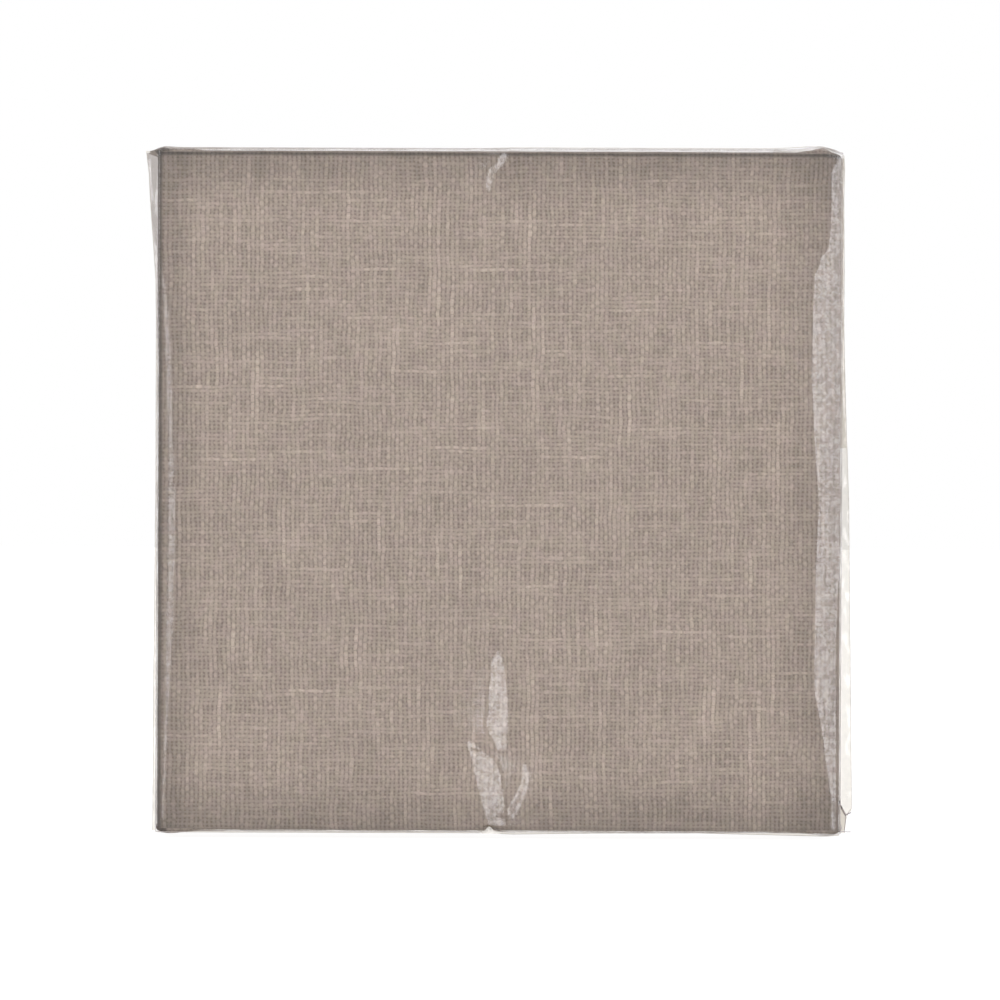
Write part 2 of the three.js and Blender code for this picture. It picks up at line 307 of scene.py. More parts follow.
def linen_faces(surface, staples):
    """The front, the four sides and the part turned over onto the back."""
    run = ticks(LINEN_HALF, 0.3, LINEN_ROUND, 1.1)
    depths = ticks(LINEN_FACE, 0.3, LINEN_ROUND, 1.0)
    insides = [LINEN_HALF - k for k in (0, 0.3, 0.6, 0.9)]
    insides += [LINEN_HALF - LINEN_ROUND - k for k in spread(0, TURNOVER - LINEN_ROUND, 1.0)]

    def point(x, y, z):
        return linen_point(x, y, z, staples)

    front = [[point(x, -LINEN_FACE, z) for x in run] for z in run]
    surface.grid(front, [[(x, z) for x in run] for z in run])
    for turn in range(4):
        side_rows, side_flat, back_rows, back_flat = [], [], [], []
        for y in depths:
            out = LINEN_HALF + y + LINEN_FACE
            side_rows.append([point(*turned(a, LINEN_HALF, y, turn)) for a in run])
            side_flat.append([flat_turned(a, out, turn) for a in run])
        for inside in insides:
            out = LINEN_HALF + LINEN_DEPTH + LINEN_HALF - inside
            share = inside / LINEN_HALF
            back_rows.append([
                point(*turned(a * share, inside, LINEN_FACE, turn)) for a in run
            ])
            back_flat.append([flat_turned(a * share, out, turn) for a in run])
        surface.grid(side_rows, side_flat)
        surface.grid(back_rows, back_flat)


def flat_turned(a, out, turn):
    """A point a along a side and out from the middle, for the top side turned clockwise."""
    for _ in range(turn):
        a, out = out, -a
    return (a, out)


def turned(a, out, y, turn):
    """The same point in space, at this depth."""
    x, z = flat_turned(a, out, turn)
    return (x, y, z)


def corner_fold(surface, way_x, way_z, start, peak, height, poke):
    """The spare cloth of one corner: folded over the top or bottom side and onto the back."""
    front_reach = 7.6
    back_reach = 15.0
    rows, flats = [], []
    side = [0.1, 0.3, 0.6, 0.9] + spread(1.2, LINEN_DEPTH - LINEN_ROUND, 0.9)
    bend = spread(LINEN_DEPTH - 0.9, LINEN_DEPTH + 0.9, 0.3)
    back = spread(LINEN_DEPTH + LINEN_ROUND, LINEN_DEPTH + TURNOVER, 1.0)
    for depth in side + bend + back:
        over = max(0.0, depth - LINEN_DEPTH)
        reach = front_reach + (back_reach - front_reach) * min(1.0, depth / LINEN_DEPTH)
        reach += (TURNOVER + 1.0 - back_reach) * over / TURNOVER
        first = start * smooth(LINEN_DEPTH, LINEN_DEPTH - 3, depth) + over
        row, flat = [], []
        for share in spread(0, 1, 0.045):
            at = first + (reach - first) * share
            x = LINEN_HALF - max(0.0, at)
            z = LINEN_HALF - over + min(0.0, at)
            y = min(depth - LINEN_FACE, LINEN_FACE)
            rise = smooth(first, first + (peak if not over else 0.7), at)
            nose = math.sqrt(max(0.0, 1 - smooth(reach - 0.55, reach, at) ** 2))
            droop = 1 - (1 - 0.55 / height) * smooth(peak + first, peak + first + 3.5, at)
            lift = height * rise * nose * droop * smooth(-0.4, 1.6, depth) - 0.12
            lift += 0.07 * ripple(x * way_x, y, z * way_z, 5) * nose
            place, out = on_linen(x, y, z)
            place = place + out * lift
            place.x += poke * math.exp(-(at / 0.7) ** 2) * max(0.0, math.sin(
                math.pi * min(1.0, depth / LINEN_DEPTH)))
            row.append((place.x * way_x, place.y, place.z * way_z * LINEN_TALL))
            flat.append((way_x * (LINEN_HALF + depth), way_z * (LINEN_HALF + at)))
        rows.append(row)
        flats.append(flat)
    surface.grid(rows, flats, flip=way_x * way_z > 0)


def loose_threads(surface):
    """Thread ends standing out of the raw edge on the back."""
    draw = random.Random(7)
    for turn in range(4):
        pitch = WARP_PITCH if turn % 2 == 0 else WEFT_PITCH
        at = -TURNOVER_EDGE + 1
        while at < TURNOVER_EDGE - 1:
            length = 0.5 + 2.2 * draw.random() ** 4
            if draw.random() < 0.03:
                length = 4 + 5 * draw.random()
            lean = draw.uniform(-0.5, 0.5)
            curl = draw.uniform(-0.6, 0.6)
            rise = draw.uniform(-0.2, 0.3)
            path = []
            for share in (-0.25, 0.2, 0.6, 1.0):
                run = length * share
                side = lean * max(0, run) + curl * max(0, share) ** 2 * length
                x, y, z = turned(at + side, TURNOVER_EDGE - run, 0, turn)
                back = LINEN_FACE - 0.25 + rise * max(0, share)
                path.append((x, back, z))
            flat = flat_turned(at, LINEN_HALF + LINEN_DEPTH + TURNOVER, turn)
            surface.tube(path, draw.uniform(0.08, 0.16), 5, flat)
            at += pitch * draw.uniform(0.8, 1.3)


def make_linen(material, staples):
    """One piece of linen over the front and sides, folded at the corners and turned over."""
    surface = Surface()
    linen_faces(surface, staples)
    linen = surface.build("linen_cloth", [material], CLOTH_SHEET, thick=LINEN_THICK)
    folds = Surface()
    for corner in CORNER_FOLDS:
        corner_fold(folds, *corner)
    fold_piece = folds.build("linen_corner_folds", [material], CLOTH_SHEET)
    threads = Surface()
    loose_threads(threads)
    thread_piece = threads.build("linen_loose_threads", [material], CLOTH_SHEET)
    return linen, fold_piece, thread_piece


# --- Film ---

# Each fold of the film: the tilted flank runs from its crest to its foot, and catches the light.
# Crest and foot are broken lines of (height, x).
RIGHT_CREST = [
    (-75.4, 74.4), (-68, 74.3), (-61, 73.1), (-52.6, 72), (-44, 70.2), (-15.6, 70.5),
    (-1.8, 71.1), (8.9, 70.2), (26, 69.3), (40, 69.6), (48.6, 69.9), (50.4, 71.1), (52.4, 71.4),
    (54, 73), (58, 73.6), (71.5, 73.8), (75, 76),
]
RIGHT_FOOT = [
    (-75.4, 75), (-68, 75.2), (-34, 75), (-20, 75.6), (-8, 76.38), (75, 76.38),
]
LEFT_CREST = [
    (-73.5, -74.4), (-44, -73.1), (-27, -72.1), (0, -72), (11, -72.5), (28.5, -73),
    (38, -73.5), (47, -74.5), (49.5, -75.2),
]
LEFT_FOOT = [
    (-73.5, -75.1), (-44, -74.2), (0, -73.8), (11, -73.8), (28.5, -74.4), (38, -74.9),
    (47, -75.3), (49.5, -75.4),
]
UPPER_LEAF_CREST = [
    (-57.8, -0.1), (-56.5, -0.8), (-54.1, -2.4), (-52.1, -2.9), (-46.6, -2.5), (-38.1, -1.9),
    (-36.3, -1), (-35.6, -0.2),
]
UPPER_LEAF_FOOT = [
    (-57.8, 1.9), (-56.8, 2), (-53.4, 2.3), (-46.6, 2.3), (-39.8, 1.5), (-36.7, 1),
    (-35.6, 0.4),
]
LOWER_LEAF_CREST = [
    (-75.4, 2.3), (-74.4, 2.1), (-71.8, 1.6), (-67.1, 1.3), (-61.9, 0.6), (-59.8, -0.4),
    (-58.6, -1.9), (-57.4, -3.6), (-56.6, -5.2), (-55.8, -6.5),
]
LOWER_LEAF_FOOT = [
    (-75.4, -2.2), (-73.7, -2.6), (-71.5, -3.1), (-67.8, -4.2), (-64.3, -5.1), (-58.9, -6.3),
    (-56.8, -6.9), (-55.8, -6.8),
]
SMALL_LEAF_CREST = [
    (-73.3, 3), (-72.5, 2.4), (-71.2, 2), (-69.8, 2.8), (-67.1, 4.4), (-63.7, 5.6),
    (-60.9, 5.6),
]
SMALL_LEAF_FOOT = [
    (-73.3, 3.3), (-72.7, 3.6), (-70.5, 4.6), (-67.7, 5.9), (-65, 6.7), (-63, 6.8), (-60.9, 5.9),
]
TOP_LEAF_CREST = [
    (66.3, -2.4), (67.3, -3.4), (68.5, -3.75), (69.6, -3.6), (70.6, -3.05), (72, -2.9),
    (73.2, -0.8), (74.6, -0.7), (75.4, 0.5),
]
TOP_LEAF_FOOT = [
    (66.3, -2), (68.6, -1.8), (70.4, -1.2), (71.6, -0.2), (72.6, 0.9), (74.2, 1.7), (75.4, 1.7),
]
# Each is: the crest, the foot, how far the other flank runs, the lit flank's tilt in degrees.
FRONT_FOLDS = [
    (RIGHT_CREST, RIGHT_FOOT, 22, 12.6),
    (LEFT_CREST, LEFT_FOOT, 12, 5.5),
    (UPPER_LEAF_CREST, UPPER_LEAF_FOOT, 13, 11),
    (LOWER_LEAF_CREST, LOWER_LEAF_FOOT, 14, 11),
    (SMALL_LEAF_CREST, SMALL_LEAF_FOOT, 9, 11),
    (TOP_LEAF_CREST, TOP_LEAF_FOOT, 9, 11),
]

# How far out the film stands along each side: (place along the side, distance from the middle).
FILM_OUT = {
    "top": [(-76.4, 76.5), (-75, 76.85), (-71, 76.95), (-60, 76.85), (-5, 77.05), (3, 77.3),
            (62, 77.3), (69, 77.75), (73, 77.7), (76.4, 76.1)],
    "right": [(-76.4, 78), (-72.4, 78.5), (-71.6, 79.6), (-24, 79), (-2, 78.7),
              (20, 77.9), (38, 77.45), (50, 77.5), (66, 77.35), (73, 77.5), (76.4, 77.35)],
    "bottom": [(-76.4, 77), (-2, 76.95), (3, 77.2), (22, 76.9), (45, 76.8), (60, 77.1),
               (73, 77.4), (76.4, 77.2)],
    "left": [(-76.4, 77.7), (-40, 77.6), (0, 77.3), (38, 77.3), (47, 77.45), (56, 78.05),
             (65, 78.75), (71, 79.05), (76.4, 79.7)],
}
# How far the film's sides stand off the edge of its face, where the linen holds them out.
FILM_SLACK = {
    "top": [(-76.4, 0.5), (-71, 0.4), (62, 0.4), (68, 0.9), (74, 0.9), (76.4, 0.5)],
    "right": [(-76.4, 0.4), (76.4, 0.5)],
    "bottom": [(-76.4, 0.4), (76.4, 0.4)],
    "left": [(-76.4, 0.4), (76.4, 0.5)],
}
# The bumps of the film's edges over the linen's corner folds: where, how wide and how high.
FILM_BUMPS = {
    "top": [(-76.4, 1.2, -0.45), (-75.3, 2.2, 0.25), (71, 2.8, 0.6), (76.4, 1.6, -0.7)],
    "bottom": [(-73, 3.2, 0.5), (73, 3.2, 0.5)],
}
# The material of each side's front half and of its fin.
WALL_LOOK = {"top": CLEAR, "right": CLEAR, "bottom": DOUBLED, "left": CLEAR}
FIN_LOOK = {"top": CLEAR, "right": DOUBLED, "bottom": DOUBLED, "left": DOUBLED}
# How much nearer to the middle the film's lower edge is than the others.
FILM_LOW = 0.35


def fold_height(x, z, crest, foot, run, tilt):
    """How far one fold lifts the film at a place."""
    low, high = crest[0][0], crest[-1][0]
    if not low <= z <= high:
        return 0.0
    top = along(crest, z)
    base = along(foot, z)
    peak = abs(base - top) * math.tan(math.radians(tilt))
    if peak < 1e-6:
        return 0.0
    way = 1 if base > top else -1
    past = (x - top) * way
    if past >= 0:
        return max(0.0, peak * (1 - past / abs(base - top)))
    return peak * max(0.0, 1 + past / run) ** 2 if past > -run else 0.0


def edge_drop(gap, wide):
    """How far a face of the film falls away, this near to its edge."""
    if gap >= wide:
        return 0.0
    return EDGE_FALL * (1 - math.sqrt(max(0.0, 1 - (1 - gap / wide) ** 2)))


def film_front_y(x, z):
    """The front of the film: its folds, a faint overall slackness, and its rounded edge."""
    gap = FILM_HALF - max(abs(x), abs(z))
    lift = sum(fold_height(x, z, *fold) for fold in FRONT_FOLDS)
    lift += 0.05 * ripple(x, 20, z, 22) * smooth(0, 12, gap)
    lift -= 0.15 * smooth(0, 30, gap)
    # the left and right edges are sharp, so that the long folds reach them
    sharp = abs(x) > 74 and abs(z) < abs(x)
    return -FILM_FACE - lift + edge_drop(gap, 0.01 if sharp else EDGE_ROUND)


def snapped(columns, z, folds):
    """The columns, each nearest free one moved onto a fold's crest and foot at this height."""
    moved = list(columns)
    free = set(range(1, len(columns) - 1))
    for crest, foot, _, _ in folds:
        if crest[0][0] <= z <= crest[-1][0]:
            for line in (crest, foot):
                place = along(line, z)
                nearest = min(free, key=lambda k: abs(columns[k] - place))
                free.remove(nearest)
                moved[nearest] = place
    return sorted(moved)


def film_half(side, seen):
    """How far an edge of the film's face stands from the middle, over the corner folds."""
    half = FILM_HALF - (FILM_LOW if side == "bottom" else 0)
    for place, wide, high in FILM_BUMPS.get(side, []):
        half += high * math.exp(-((seen - place) / wide) ** 2)
    return half


def stretched(x, z):
    """The height of a point of a web's face, once its top and bottom clear the corner folds."""
    top = film_half("top" if z > 0 else "bottom", x)
    return z * (1 + (top / FILM_HALF - 1) * smooth(60, FILM_HALF, abs(z)))


def seen_at(a, turn):
    """The place along a side, in x or z, of a point a along its run."""
    return a if turn in (0, 3) else -a


def wall_out(side, seen, share, seed):
    """How far out one side of the film stands, from its web's edge (0) to the seal (1)."""
    base = film_half(side, seen)
    out = along(FILM_OUT[side], seen)
    out = min(out - FIN_LEAST, base + along(FILM_SLACK[side], seen))
    out = max(out, base + 0.05)
    bulge = math.sin(math.pi * share) * 0.12
    crease = 0.16 * ripple(seen, seed, share * 2, 3.5) * math.sin(math.pi * share / 1.3)
    return base + (out - base) * smooth(0, 1, share) + bulge + crease


def film_wall(surface, turn, run, middle_y, front_y, seed):
    """One side of the film, from the edge of its web to the seal, meeting its neighbours."""
    side = SIDES[turn]
    rows, flats = [], []
    for share in spread(0, 1, 0.1):
        y = front_y + (middle_y - front_y) * share
        shifts = []
        for end in (-1, 1):
            corner_x, _, corner_z = turned(end, 1, 0, turn)
            if turn % 2 == 0:
                neighbour, place = ("right" if corner_x > 0 else "left"), corner_z
            else:
                neighbour, place = ("top" if corner_z > 0 else "bottom"), corner_x
            shifts.append(wall_out(neighbour, place * FILM_HALF, share, seed) - FILM_HALF)
        row, flat = [], []
        for a in run:
            seen = seen_at(a, turn)
            off = wall_out(side, seen, share, seed)
            end = abs(a / FILM_HALF) ** 40
            moved = a + (shifts[1] if a > 0 else -shifts[0]) * end
            x, _, z = turned(moved, off, 0, turn)
            row.append((x, y, z))
            flat.append(flat_turned(a, FILM_HALF + abs(y - front_y), turn))
        rows.append(row)
        flats.append(flat)
    kind = WALL_LOOK[side] if middle_y > front_y else CLEAR
    surface.grid(rows, flats, flip=middle_y < front_y, kind=kind)
    return rows[-1]


def film_fin(surface, turn, run, base_row):
    """The seal's fin along one side: two webs pressed together, crinkled, out to a melted bead."""
    side = SIDES[turn]
    rows, flats = [base_row], [[flat_turned(a, FILM_HALF + SIDE_FLAT, turn) for a in run]]
    for share in (0.2, 0.4, 0.6, 0.8, 1.0):
        row, flat = [], []
        for a, (bx, by, bz) in zip(run, base_row):
            seen = seen_at(a, turn)
            start = bz if turn % 2 == 0 else bx
            wide = max(FIN_LEAST, along(FILM_OUT[side], seen) - abs(start)) * share
            wave = 0.35 * ripple(seen, wide * 2, turn * 9, 2.6) * share
            x, _, z = turned(0, wide, 0, turn)
            row.append((bx + x, by + wave, bz + z))
            flat.append(flat_turned(a, FILM_HALF + SIDE_FLAT + wide, turn))
        rows.append(row)
        flats.append(flat)
    surface.grid(rows, flats, kind=FIN_LOOK[side])
    return rows[-1]


def make_film_front(looks):
    """The film's front web: the face with its folds, and the front half of the sides."""
    fine = spread(-9, 9, 0.5)
    outer = spread(9, 64, 1.9)[1:-1] + spread(64, FILM_HALF - 0.2, 0.4) + [FILM_HALF]
    columns = [-x for x in reversed(outer)] + fine + outer
    levels = ticks(FILM_HALF, 0.45, 3, 0.6)
    surface = Surface()
    rows, flats = [], []
    for z in levels:
        xs = snapped(columns, z, FRONT_FOLDS)
        rows.append([(x, film_front_y(x, z), stretched(x, z)) for x in xs])
        flats.append([(x, z) for x in xs])
    surface.grid(rows, flats)
    for turn in range(4):
        run = columns if turn % 2 == 0 else levels
        seal = film_wall(surface, turn, run, FILM_SEAL, -FILM_FACE + EDGE_FALL, 11)
        tip = film_fin(surface, turn, run, seal)
        surface.tube(tip[::2] + [tip[-1]], 0.08, 6, (0, 0), kind=BEAD)
    film_ear(surface)
    bunched_side(surface, "left", 34, 75.6, BUNCHED)
    bunched_side(surface, "right", 10, 75, DOUBLED)
    bottom_pinch(surface)
    return surface.build("film_front", looks, FILM_SHEET)


def film_ear(surface):
    """The torn corner of the seal, low on the right: a small crumpled V, and a stray strand."""
    fork = (78.2, 0.05, -72.6)
    tip = (77.9, 0.15, -76.1)
    arms = [
        ([(76.5, -4, -69.2), (77.1, -2.6, -70.8), fork], 0.24),
        ([(79.5, FILM_SEAL, -72), (78.8, 0.2, -72.3), fork], 0.17),
        ([fork, (78.1, -0.3, -74.3), tip], 0.08),
        ([(74.8, -7, -76.1), (77.2, -3.5, -76.05), (79.5, FILM_SEAL, -76.4)], 0.11),
        ([(76.6, -7, -74.3), (76.9, -5, -75.3), (76.4, -4, -76.1)], 0.11),
    ]
    for arm, radius in arms:
        surface.tube(arm, radius, 6, (0, 0), kind=BUNCHED)
    inner = [(76.5, -2.5, -69.7), (76.6, -2.2, -72.7), (76.5, -1.5, -76.1)]
    outer = [(77.4, -1.4, -71.3), fork, tip]
    surface.grid([inner, outer], [[(0, 0)] * 3] * 2, kind=DOUBLED)


def bunched_side(surface, side, low, high, kind):
    """The spare film beside the canvas, bunched up as it shrank."""
    way = 1 if side == "right" else -1
    rows = []
    for z in spread(low, high, 0.8):
        outer = along(FILM_OUT[side], z) - 0.2
        row = []
        for share in spread(0, 1, 0.125):
            x = BUNCH_START + (outer - BUNCH_START) * share
            y = BUNCH_DEPTH + 0.16 * ripple(x * 3, 4, z * 0.35, 2.4)
            row.append((x * way, y, z))
        rows.append(row)
    surface.grid(rows, [[(x, z) for x, _, z in row] for row in rows], kind=kind)


def bottom_pinch(surface):
    """A small milky pleat, where the film is pinched over the middle of the bottom edge."""
    upper, lower = [], []
    for x in spread(-3.6, 0.6, 0.3):
        rise = 1.15 * math.exp(-((x + 1.9) / 0.85) ** 2)
        upper.append((x, -FILM_FACE - 0.3, -75.85 + rise))
        lower.append((x, -FILM_FACE + 0.2, -76.35))
    flats = [[(x, z) for x, _, z in row] for row in (lower, upper)]
    surface.grid([lower, upper], flats, kind=BEAD)
    crease = [(-3.3, -74.7), (-2.6, -74.55), (-1.4, -74.65), (-0.6, -75.2), (0.4, -75.6)]
    surface.tube([(x, -FILM_FACE - 0.35, z) for x, z in crease], 0.15, 6, (0, 0), kind=DOUBLED)


# The back web's creases: from, to, how wide and how high.
BACK_CREASES = [
    ((-74, 74), (-30, 34), 4, 0.5), ((74, 72), (38, 40), 3.5, 0.45),
    ((-73, -73), (-40, -38), 3.5, 0.5), ((74, -74), (30, -36), 4, 0.55),
    ((-70, 20), (-35, 12), 3, 0.3), ((72, -10), (44, -2), 3, 0.3),
    ((-8, 75), (2, 48), 3, 0.4), ((10, -75), (-2, -50), 3, 0.4),
    ((60, 75), (22, 20), 3, 0.3), ((-60, -75), (-28, -10), 3, 0.3),
]


def back_lift(x, z):
    """How far the folds of the back web lift it at a place."""
    lift = 0.10 * ripple(x, 60, z, 16)
    for (ax, az), (bx, bz), width, height in BACK_CREASES:
        run = Vector((bx - ax, bz - az))
        gap = Vector((x - ax, z - az))
        share = gap.dot(run) / run.length_squared
        off = abs(gap.x * run.y - gap.y * run.x) / run.length
        ends = smooth(0, 0.15, share) * smooth(1, 0.4, share)
        lift += height * ends * max(0.0, 1 - off / width) ** 1.3
    return lift


def film_back_y(x, z):
    """The back of the film: its creases and its rounded edge."""
    gap = FILM_HALF - max(abs(x), abs(z))
    return FILM_BACK + back_lift(x, z) * smooth(0, 8, gap) - edge_drop(gap, EDGE_ROUND)


def make_film_back(looks):
    """The film's back web: over the back and the back half of the sides, with two vents."""
    run = ticks(FILM_HALF, 0.45, 3, 0.95)
    surface = Surface()
    rows = [[(x, film_back_y(x, z), stretched(x, z)) for x in run] for z in run]
    surface.grid(rows, [[(x, z) for x in run] for z in run], flip=True)
    for turn in range(4):
        film_wall(surface, turn, run, FILM_SEAL + 0.02, FILM_BACK - EDGE_FALL, 23)
    cut_vents(surface)
    for x in (-VENT_X, VENT_X):
        vent_rim(surface, x)
    return surface.build("film_back", looks, FILM_SHEET)


def vent_rim(surface, x):
    """The melted rim of one vent."""
    rim = []
    for k in range(49):
        turn = 2 * math.pi * k / 48
        px = x + VENT_RADIUS * math.cos(turn)
        pz = VENT_RADIUS * math.sin(turn)
        rim.append((px, FILM_BACK + back_lift(px, pz), pz))
    surface.tube(rim, 0.1, 6, (x, 0), kind=BEAD)


def cut_vents(surface):
    """Takes the two round vents out of the back web, with their rims on the circle."""
    kept, kinds = [], []
    rims = set()
    for face, kind in zip(surface.faces, surface.kinds):
        middle = sum((Vector(surface.points[k]) for k in face), Vector()) / len(face)
        gap = math.hypot(abs(middle.x) - VENT_X, middle.z)
        if middle.y > FILM_BACK - 0.5 and gap < VENT_RADIUS:
            rims.update(face)
        else:
            kept.append(face)
            kinds.append(kind)
    surface.faces, surface.kinds = kept, kinds
    used = {k for face in kept for k in face}
    for k in rims & used:
        x, y, z = surface.points[k]
        centre = math.copysign(VENT_X, x)
        away = Vector((x - centre, z)).normalized() * VENT_RADIUS
        surface.points[k] = (centre + away.x, y, away.y)


# --- Staples ---

def staple_place(node):
    """A CAD staple's crown in millimetres: its middle in x and z, the way it runs, its depth."""
    points = np.array([vertex.co for vertex in node.data.vertices])
    crown = points[points[:, 1] > points[:, 1].max() - 0.1 * MM]
    centre = (crown.min(0) + crown.max(0)) / 2
    offsets = (crown - crown.mean(0))[:, [0, 2]]
    way = np.linalg.svd(offsets)[2][0]
    middle = (Vector(centre) - MIDDLE) / MM
    return (middle.x, middle.z), Vector((way[0], way[1])).normalized(), middle.y


def make_staple(name, material):
    """A staple of flat wire, bent at the two shoulders."""
    (x, z), way, top = staple_place(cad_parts[name])
    half = STAPLE_CROWN / 2 - WIRE_THICK / 2
    path = [(-half, STAPLE_LEG), (-half, STAPLE_BEND)]
    for k in range(1, 6):
        turn = math.pi / 2 * k / 6
        path.append((-half + STAPLE_BEND * (1 - math.cos(turn)),
                     STAPLE_BEND * (1 - math.sin(turn))))
    path += [(-half + STAPLE_BEND, 0), (0, 0.04)]
    path += [(-a, b) for a, b in reversed(path[:-1])]
    thick = WIRE_THICK / 2
    wide = WIRE_WIDE / 2
    short_thick = thick - WIRE_CUT
    short_wide = wide - WIRE_CUT
    section = [(thick, short_wide), (short_thick, wide), (-short_thick, wide), (-thick, short_wide)]
    section += [(-t, -w) for t, w in section]
    surface = Surface()
    rows = []
    for k, (a, b) in enumerate(path):
        run = heading(path, k)
        out = Vector((run.y, -run.x))
        tip = 0.25 if k in (0, len(path) - 1) else 1.0
        row = []
        for t, w in section + section[:1]:
            at = a + out.x * t * tip
            down = b + out.y * t * tip + WIRE_THICK / 2
            row.append((x + way.x * at - way.y * w, top - down, z + way.y * at + way.x * w))
        rows.append(row)
    surface.grid(rows, [[(0, 0)] * len(row)] * len(rows))
    piece = surface.build("wire_" + name, [material], CLOTH_SHEET)
    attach(piece, "canvas")
    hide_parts(name)


# --- Materials ---

class Shader:
    """The nodes of a new material, or of the world. Any input may be a number, a colour or
    another node's output."""

    def __init__(self, name, of_world=False):
        owners = bpy.data.worlds if of_world else bpy.data.materials
        self.end = "ShaderNodeOutputWorld" if of_world else "ShaderNodeOutputMaterial"
        self.owner = owners.new(name)
        self.owner.use_nodes = True
        self.tree = self.owner.node_tree
        self.tree.nodes.clear()

    def put(self, socket, value):
        if isinstance(value, bpy.types.NodeSocket):
            self.tree.links.new(value, socket)
        else:
            socket.default_value = value

    def add(self, kind, inputs=None, **settings):
        node = self.tree.nodes.new(kind)
        for key, value in settings.items():
            setattr(node, key, value)
        for key, value in (inputs or {}).items():
            self.put(node.inputs[key], value)
        return node

    def math(self, operation, *values):
        node = self.add("ShaderNodeMath", operation=operation)
        for socket, value in zip(node.inputs, values):
            self.put(socket, value)
        return node.outputs[0]

    def sum(self, a, b):
        return self.math("ADD", a, b)

    def times(self, a, b):
        return self.math("MULTIPLY", a, b)

    def vector(self, x, y, z):
        return self.add("ShaderNodeCombineXYZ", {"X": x, "Y": y, "Z": z}).outputs[0]

    def split(self, vector):
        return self.add("ShaderNodeSeparateXYZ", {"Vector": vector}).outputs

    def place(self, kind="Object"):
        return self.add("ShaderNodeTexCoord").outputs[kind]

    def noise(self, vector, scale=1.0, detail=2.0, roughness=0.5):
        return self.add("ShaderNodeTexNoise", {
            "Vector": vector, "Scale": scale, "Detail": detail, "Roughness": roughness,
        }).outputs[0]

    def cloud(self, *parts, detail=2.0, roughness=0.5):
        """Noise at three parts of a place: each a number, or a value and its scale."""
        place = [self.times(*part) if isinstance(part, tuple) else part for part in parts]
        return self.noise(self.vector(*place), 1.0, detail, roughness)

    def shifted(self, value, cloud, reach):
        """The value, moved by a cloud of noise over this reach."""
        return self.sum(value, self.times(self.sum(cloud, -0.5), reach))

    def range(self, value, low, high, to_low=0.0, to_high=1.0, step="SMOOTHSTEP"):
        return self.add("ShaderNodeMapRange", {
            "Value": value, "From Min": low, "From Max": high,
            "To Min": to_low, "To Max": to_high,
        }, interpolation_type=step).outputs[0]

    def mix(self, factor, a, b, blend="MIX"):
        node = self.add("ShaderNodeMix", data_type="RGBA", blend_type=blend)
        self.put(node.inputs[0], factor)
        self.put(node.inputs[6], a)
        self.put(node.inputs[7], b)
        return node.outputs[2]

    def bump(self, height, distance, strength=1.0):
        return self.add("ShaderNodeBump", {
            "Height": height, "Distance": distance * MM, "Strength": strength,
        }).outputs[0]

    def finish(self, kind, inputs):
        """Ends with this last shader, and gives back the material or world."""
        self.add(self.end, {"Surface": self.add(kind, inputs).outputs[0]})
        return self.owner

    def half_clear(self, share, tint, body):
        """Ends with this share of a body, and a clear tint for the rest."""
        clear = self.add("ShaderNodeBsdfTransparent", {"Color": tint})
        parts = {0: share, 1: clear.outputs[0], 2: body.outputs[0]}
        return self.finish("ShaderNodeMixShader", parts)


def colour(red, green, blue):
    return (red, green, blue, 1.0)


def thread_height(s, across, body, other, over, sign, wide, level):
    """The height of one kind of thread's top at each point."""
    half = s.range(body, 0.25, 0.75, wide - 0.08, wide + 0.12)
    offset = s.math("DIVIDE", across, half)
    round_top = s.math("SQRT", s.math("MAXIMUM", s.math(
        "SUBTRACT", 1.0, s.times(offset, offset)), 0.0))
    wave = s.math("COSINE", s.times(other, math.pi))
    lift = s.sum(level, s.times(s.times(wave, over), 0.13 * sign))
    return s.times(round_top, lift)


def thread_count(s, u, v, place, pitch, slow, quick):
    """The number of threads up to a place, as their lines wander slowly and jitter."""
    wander, jitter = [s.cloud((u, a), (v, b), seed) for a, b, seed in (slow, quick)]
    wander = s.shifted(wander, jitter, 0.55)
    return s.math("DIVIDE", s.shifted(place, wander, 1.1), pitch)


